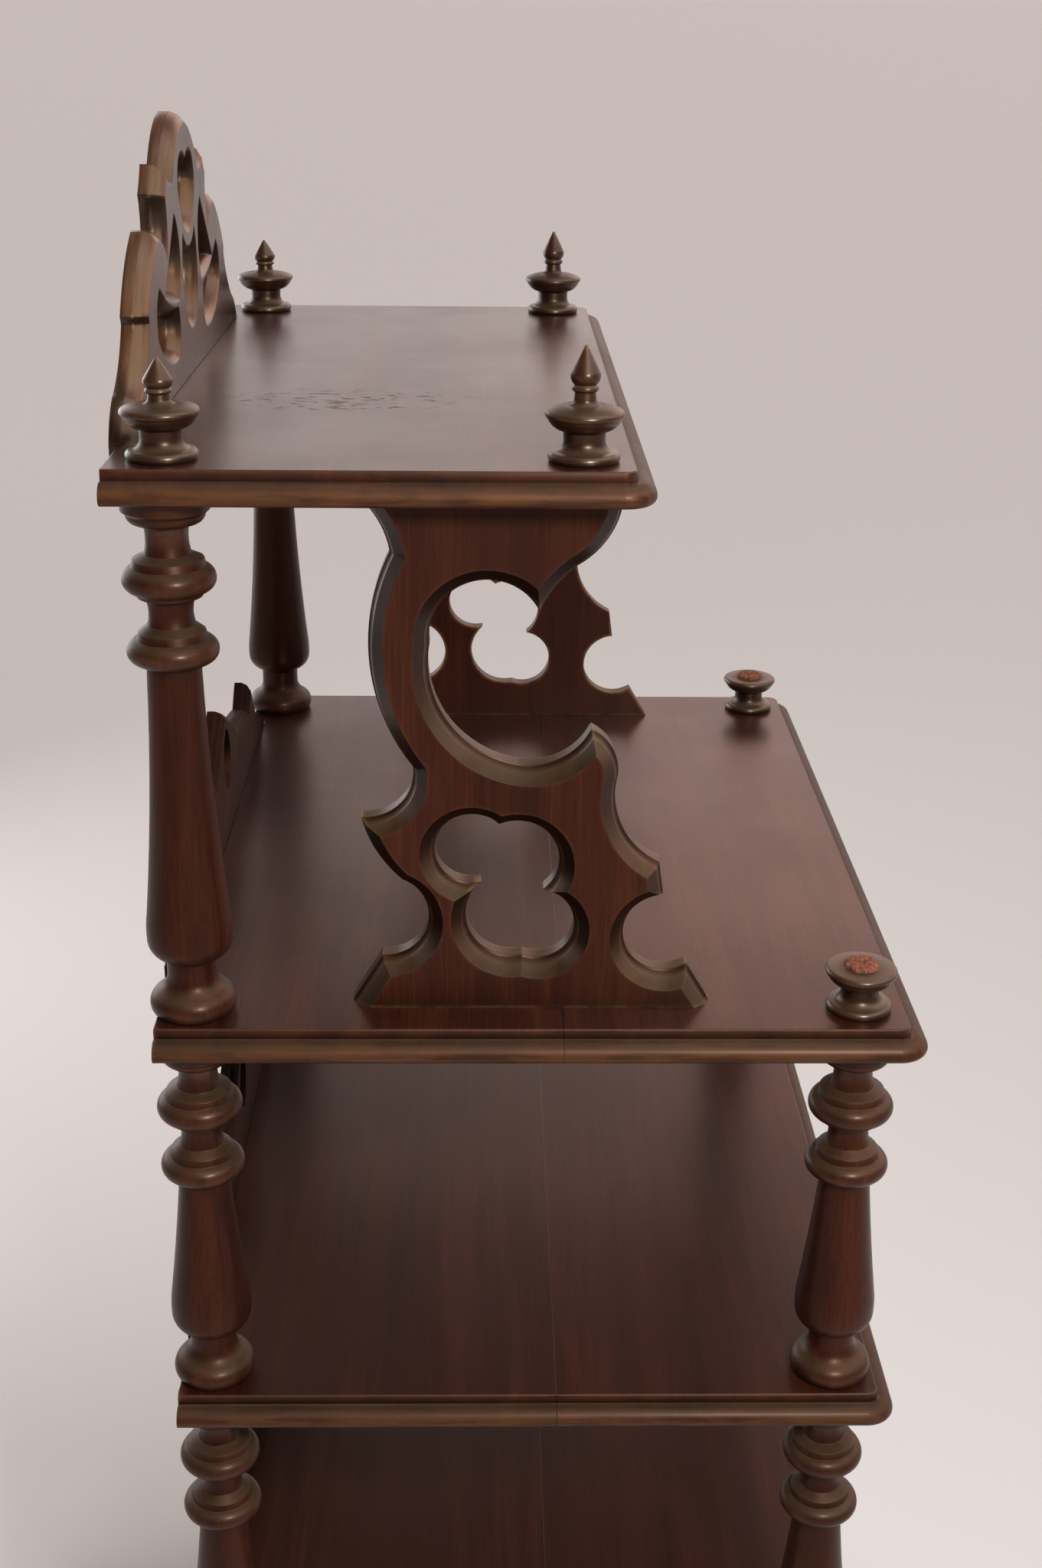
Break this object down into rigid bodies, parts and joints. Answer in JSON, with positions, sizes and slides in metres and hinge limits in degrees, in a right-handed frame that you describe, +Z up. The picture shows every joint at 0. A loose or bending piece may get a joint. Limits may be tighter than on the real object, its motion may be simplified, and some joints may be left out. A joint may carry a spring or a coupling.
{
  "type": "etagere",
  "caption": "Free-standing wooden etagere with turned posts, moulded shelves, a narrow top shelf on fretwork brackets, a pierced crest and low back galleries, for display.",
  "frame": {"origin": "middle of the footprint, on the floor", "axes": "+Z up, -Y towards the open front, +X to the right of a person who faces the front"},
  "size_m": [0.608, 0.4648, 1.38],
  "materials": {
    "shelf_board": "satin",
    "turned_wood": "satin",
    "fretwork": "satin"
  },
  "bodies": {
    "root": {"top_shelf": "shelf_board", "shelf_2_front_board": "shelf_board", "shelf_2_back_board": "shelf_board", "shelf_3_front_board": "shelf_board", "shelf_3_back_board": "shelf_board", "shelf_4_front_board": "shelf_board", "shelf_4_back_board": "shelf_board", "shelf_5_front_board": "shelf_board", "shelf_5_back_board": "shelf_board", "crest": "fretwork", "side_bracket_left": "fretwork", "side_bracket_right": "fretwork", "shelf_2_gallery": "fretwork", "shelf_3_gallery": "fretwork", "shelf_4_gallery": "fretwork", "shelf_5_gallery": "fretwork", "tall_back_post_left": "turned_wood", "finial_back_left": "turned_wood", "finial_front_left": "turned_wood", "broken_cap_left": "turned_wood", "tall_back_post_right": "turned_wood", "finial_back_right": "turned_wood", "finial_front_right": "turned_wood", "broken_cap_right": "turned_wood", "foot_front_left": "turned_wood", "post_under_shelf_2_front_left": "turned_wood", "post_under_shelf_3_front_left": "turned_wood", "post_under_shelf_4_front_left": "turned_wood", "foot_front_right": "turned_wood", "post_under_shelf_2_front_right": "turned_wood", "post_under_shelf_3_front_right": "turned_wood", "post_under_shelf_4_front_right": "turned_wood", "foot_back_left": "turned_wood", "post_under_shelf_2_back_left": "turned_wood", "post_under_shelf_3_back_left": "turned_wood", "post_under_shelf_4_back_left": "turned_wood", "foot_back_right": "turned_wood", "post_under_shelf_2_back_right": "turned_wood", "post_under_shelf_3_back_right": "turned_wood", "post_under_shelf_4_back_right": "turned_wood"}
  },
  "joints": []
}
